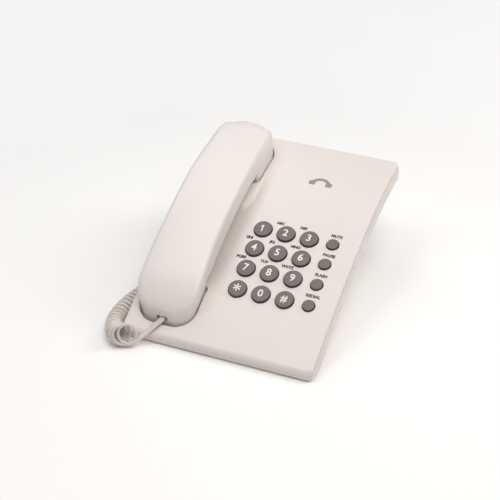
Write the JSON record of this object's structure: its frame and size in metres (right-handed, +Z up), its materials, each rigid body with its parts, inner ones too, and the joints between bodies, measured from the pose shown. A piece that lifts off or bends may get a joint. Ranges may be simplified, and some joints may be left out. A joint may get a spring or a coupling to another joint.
{
  "type": "corded landline telephone",
  "caption": "Desk telephone with sloping one-piece base, round-key pad, arched handset in a side cradle and coiled cord; for table or wall.",
  "frame": {"origin": "bottom centre of the whole telephone's bounding box, cord included, on the table top, which is the plane of the feet; the base's own centre line is 8.2 mm to the right of it", "axes": "+X to the user's right, +Y to the back, away from the user, +Z up"},
  "size_m": [0.1679, 0.2147, 0.0986],
  "materials": {
    "board_tan": "bare laminate",
    "brass": "plain",
    "capacitor_blue": "sleeved",
    "capsule_black": "matte",
    "cord_beige": "satin flexible vinyl",
    "foot_rubber": "matte",
    "handset_white": "smooth satin-gloss moulding",
    "jack_black": "gloss moulding",
    "key_grey": "fine matte moulding",
    "mat_silicone": "matte silicone",
    "plug_clear": "clear gloss",
    "shell_white": "fine satin moulding",
    "steel": "rolled",
    "wire_red": "vinyl",
    "zinc_screw": "zinc plated"
  },
  "bodies": {
    "base": {"upper_housing": "shell_white", "lower_housing": "shell_white", "key_mat": "mat_silicone", "keypad_board": "board_tan", "dialler_chip": "jack_black", "keypad_loom": "wire_red", "hook_spring": "steel", "hook_switch": "jack_black", "main_board": "board_tan", "line_capacitor": "capacitor_blue", "ringer": "capsule_black", "ballast_plate": "steel", "line_jack": "jack_black", "cord_jack": "jack_black", "ringer_switch_body": "steel", "dial_switch_body": "steel", "rubber_foot_1": "foot_rubber", "rubber_foot_2": "foot_rubber", "rubber_foot_3": "foot_rubber", "rubber_foot_4": "foot_rubber", "base_screw_1": "zinc_screw", "base_screw_2": "zinc_screw", "base_screw_3": "zinc_screw", "base_screw_4": "zinc_screw", "base_plug": "plug_clear", "coiled_cord": "cord_beige"},
    "handset": {"handset_outer_shell": "handset_white", "handset_inner_shell": "handset_white", "receiver_capsule": "capsule_black", "microphone_capsule": "brass", "handset_weight": "steel", "handset_jack": "jack_black", "handset_plug": "plug_clear", "handset_screw": "zinc_screw", "receiver_wire": "wire_red", "microphone_wire": "wire_red"},
    "hook": {"hook_plunger": "shell_white"},
    "key_1": {"key_1": "key_grey"},
    "key_2": {"key_2": "key_grey"},
    "key_3": {"key_3": "key_grey"},
    "key_4": {"key_4": "key_grey"},
    "key_5": {"key_5": "key_grey"},
    "key_6": {"key_6": "key_grey"},
    "key_7": {"key_7": "key_grey"},
    "key_8": {"key_8": "key_grey"},
    "key_9": {"key_9": "key_grey"},
    "key_star": {"key_star": "key_grey"},
    "key_0": {"key_0": "key_grey"},
    "key_hash": {"key_hash": "key_grey"},
    "button_mute": {"button_mute": "key_grey"},
    "button_pause": {"button_pause": "key_grey"},
    "button_flash": {"button_flash": "key_grey"},
    "button_redial": {"button_redial": "key_grey"},
    "ringer_switch": {"ringer_switch_knob": "jack_black"},
    "dial_switch": {"dial_switch_knob": "jack_black"}
  },
  "joints": [
    {"name": "handset_lift", "type": "slide", "parent": "base", "child": "handset", "axis": [0, 0, 1], "range_m": [0, 0.1], "deforming": ["coiled_cord", "hook_spring"]},
    {"name": "hook_rise", "type": "slide", "parent": "base", "child": "hook", "axis": [0, 0, 1], "range_m": [0, 0.004], "deforming": ["hook_spring"]},
    {"name": "key_1_press", "type": "slide", "parent": "base", "child": "key_1", "axis": [0, 0.3734, -0.9277], "range_m": [0, 0.0013], "stiffness_N_per_m": 500, "deforming": ["key_mat"]},
    {"name": "key_2_press", "type": "slide", "parent": "base", "child": "key_2", "axis": [0, 0.3734, -0.9277], "range_m": [0, 0.0013], "stiffness_N_per_m": 500, "deforming": ["key_mat"]},
    {"name": "key_3_press", "type": "slide", "parent": "base", "child": "key_3", "axis": [0, 0.3734, -0.9277], "range_m": [0, 0.0013], "stiffness_N_per_m": 500, "deforming": ["key_mat"]},
    {"name": "key_4_press", "type": "slide", "parent": "base", "child": "key_4", "axis": [0, 0.4046, -0.9145], "range_m": [0, 0.0013], "stiffness_N_per_m": 500, "deforming": ["key_mat"]},
    {"name": "key_5_press", "type": "slide", "parent": "base", "child": "key_5", "axis": [0, 0.4046, -0.9145], "range_m": [0, 0.0013], "stiffness_N_per_m": 500, "deforming": ["key_mat"]},
    {"name": "key_6_press", "type": "slide", "parent": "base", "child": "key_6", "axis": [0, 0.4046, -0.9145], "range_m": [0, 0.0013], "stiffness_N_per_m": 500, "deforming": ["key_mat"]},
    {"name": "key_7_press", "type": "slide", "parent": "base", "child": "key_7", "axis": [0, 0.4292, -0.9032], "range_m": [0, 0.0013], "stiffness_N_per_m": 500, "deforming": ["key_mat"]},
    {"name": "key_8_press", "type": "slide", "parent": "base", "child": "key_8", "axis": [0, 0.4292, -0.9032], "range_m": [0, 0.0013], "stiffness_N_per_m": 500, "deforming": ["key_mat"]},
    {"name": "key_9_press", "type": "slide", "parent": "base", "child": "key_9", "axis": [0, 0.4292, -0.9032], "range_m": [0, 0.0013], "stiffness_N_per_m": 500, "deforming": ["key_mat"]},
    {"name": "key_star_press", "type": "slide", "parent": "base", "child": "key_star", "axis": [0, 0.4478, -0.8941], "range_m": [0, 0.0013], "stiffness_N_per_m": 500, "deforming": ["key_mat"]},
    {"name": "key_0_press", "type": "slide", "parent": "base", "child": "key_0", "axis": [0, 0.4478, -0.8941], "range_m": [0, 0.0013], "stiffness_N_per_m": 500, "deforming": ["key_mat"]},
    {"name": "key_hash_press", "type": "slide", "parent": "base", "child": "key_hash", "axis": [0, 0.4478, -0.8941], "range_m": [0, 0.0013], "stiffness_N_per_m": 500, "deforming": ["key_mat"]},
    {"name": "button_mute_press", "type": "slide", "parent": "base", "child": "button_mute", "axis": [0, 0.3734, -0.9277], "range_m": [0, 0.0013], "stiffness_N_per_m": 500, "deforming": ["key_mat"]},
    {"name": "button_pause_press", "type": "slide", "parent": "base", "child": "button_pause", "axis": [0, 0.4046, -0.9145], "range_m": [0, 0.0013], "stiffness_N_per_m": 500, "deforming": ["key_mat"]},
    {"name": "button_flash_press", "type": "slide", "parent": "base", "child": "button_flash", "axis": [0, 0.4292, -0.9032], "range_m": [0, 0.0013], "stiffness_N_per_m": 500, "deforming": ["key_mat"]},
    {"name": "button_redial_press", "type": "slide", "parent": "base", "child": "button_redial", "axis": [0, 0.4478, -0.8941], "range_m": [0, 0.0013], "stiffness_N_per_m": 500, "deforming": ["key_mat"]},
    {"name": "ringer_switch_slide", "type": "slide", "parent": "base", "child": "ringer_switch", "axis": [1, 0, 0], "range_m": [0, 0.004]},
    {"name": "dial_switch_slide", "type": "slide", "parent": "base", "child": "dial_switch", "axis": [1, 0, 0], "range_m": [0, 0.004]}
  ],
  "couplings": [
    {"joint": "hook_rise", "follows": "handset_lift", "ratio": 0.04}
  ]
}
